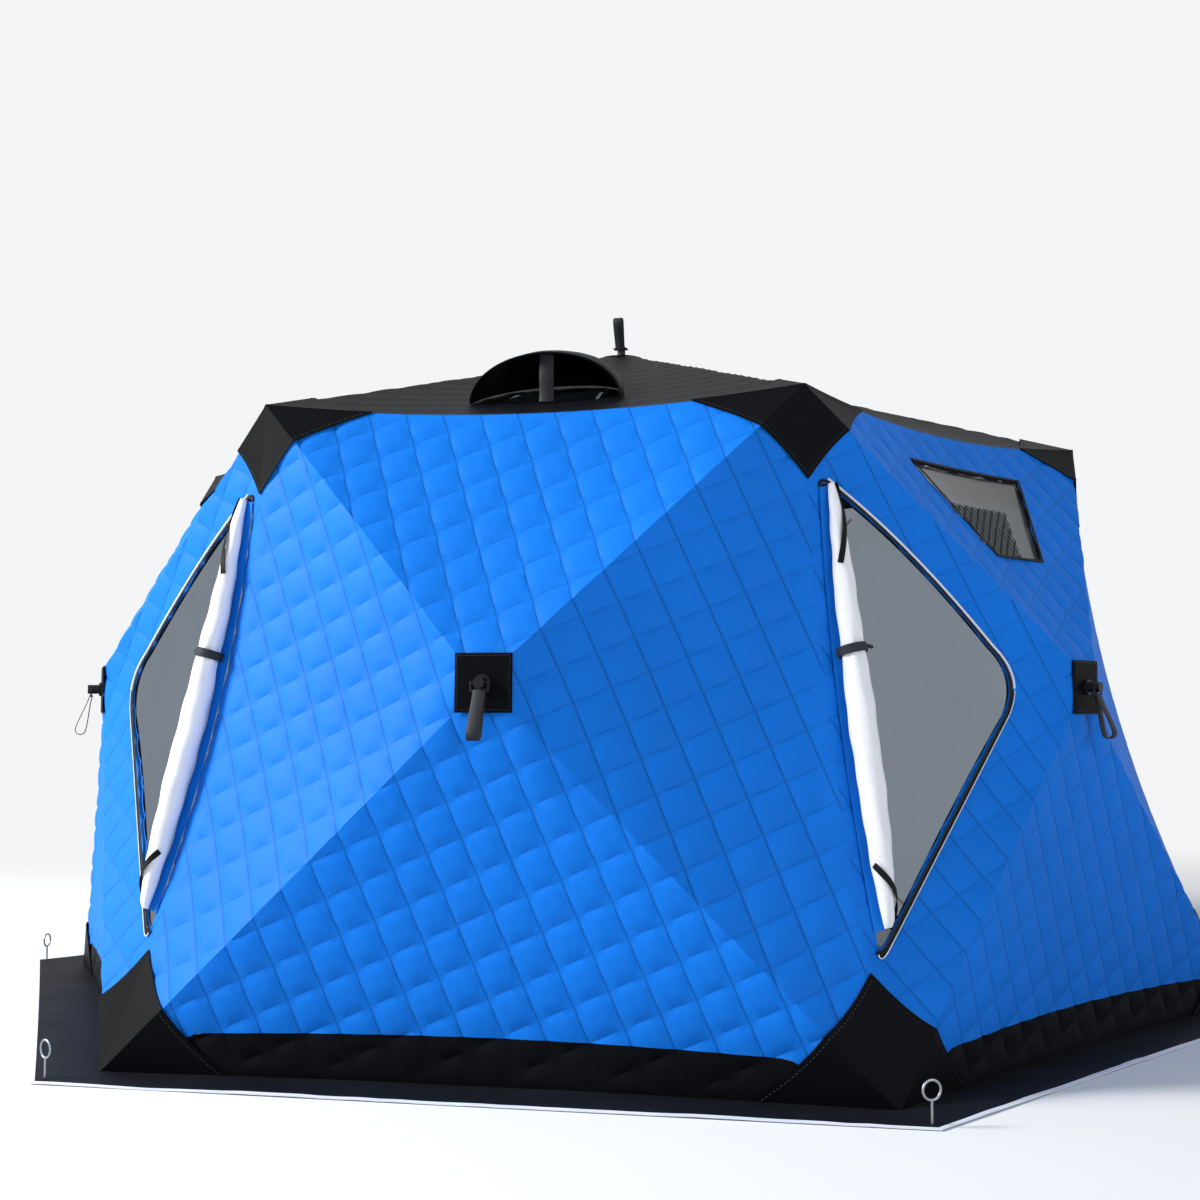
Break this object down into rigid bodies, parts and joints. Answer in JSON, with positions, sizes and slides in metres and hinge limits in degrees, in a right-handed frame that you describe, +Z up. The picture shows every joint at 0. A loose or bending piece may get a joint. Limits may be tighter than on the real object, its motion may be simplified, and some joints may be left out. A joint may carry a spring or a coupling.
{
  "type": "ice fishing hut (pop-up hub shelter)",
  "caption": "Six-sided pop-up ice fishing hut: quilted cabin pushed out by sprung hubs, with rolled-up corner doors, side windows, a roof vent and a snow skirt.",
  "frame": {"origin": "middle of the base, on the ground", "axes": "+Z up, -Y towards the front wall, +X towards the right corner"},
  "size_m": [4.388, 3.8002, 2.2812],
  "materials": {
    "quilted_blue": "satin quilted polyester",
    "quilted_black": "satin quilted polyester",
    "patch_cloth": "coated heavy polyester",
    "skirt_cloth": "coated polyester",
    "lining_white": "smooth coated lining",
    "webbing": "woven nylon",
    "zip_tape": "woven tape",
    "window_vinyl": "clear flexible sheet",
    "hub_nylon": "moulded",
    "pole_fibreglass": "drawn rod",
    "anchor_wire": "zinc plated wire"
  },
  "bodies": {
    "root": {"front_wall": "quilted_blue", "front_right_wall": "quilted_blue", "back_right_wall": "quilted_blue", "back_wall": "quilted_blue", "back_left_wall": "quilted_blue", "front_left_wall": "quilted_blue", "roof": "quilted_black", "front_left_top_corner": "patch_cloth", "front_right_top_corner": "patch_cloth", "right_top_corner": "patch_cloth", "back_right_top_corner": "patch_cloth", "back_left_top_corner": "patch_cloth", "left_top_corner": "patch_cloth", "front_left_foot": "patch_cloth", "front_right_foot": "patch_cloth", "right_foot": "patch_cloth", "back_right_foot": "patch_cloth", "back_left_foot": "patch_cloth", "left_foot": "patch_cloth", "lower_band": "quilted_black", "snow_skirt": "skirt_cloth", "ice_anchors": "anchor_wire", "front_hub": "hub_nylon", "front_right_hub": "hub_nylon", "back_right_hub": "hub_nylon", "back_hub": "hub_nylon", "back_left_hub": "hub_nylon", "front_left_hub": "hub_nylon", "roof_hub": "hub_nylon", "wall_poles": "pole_fibreglass", "roof_poles": "pole_fibreglass", "hub_patches": "patch_cloth", "pull_straps": "webbing", "left_door_zip": "zip_tape", "right_door_zip": "zip_tape", "left_door_flap": "lining_white", "right_door_flap": "lining_white", "left_door_tie": "webbing", "right_door_tie": "webbing", "left_window": "window_vinyl", "right_window": "window_vinyl", "vent_hood": "quilted_black", "vent_prop": "webbing"}
  },
  "joints": []
}
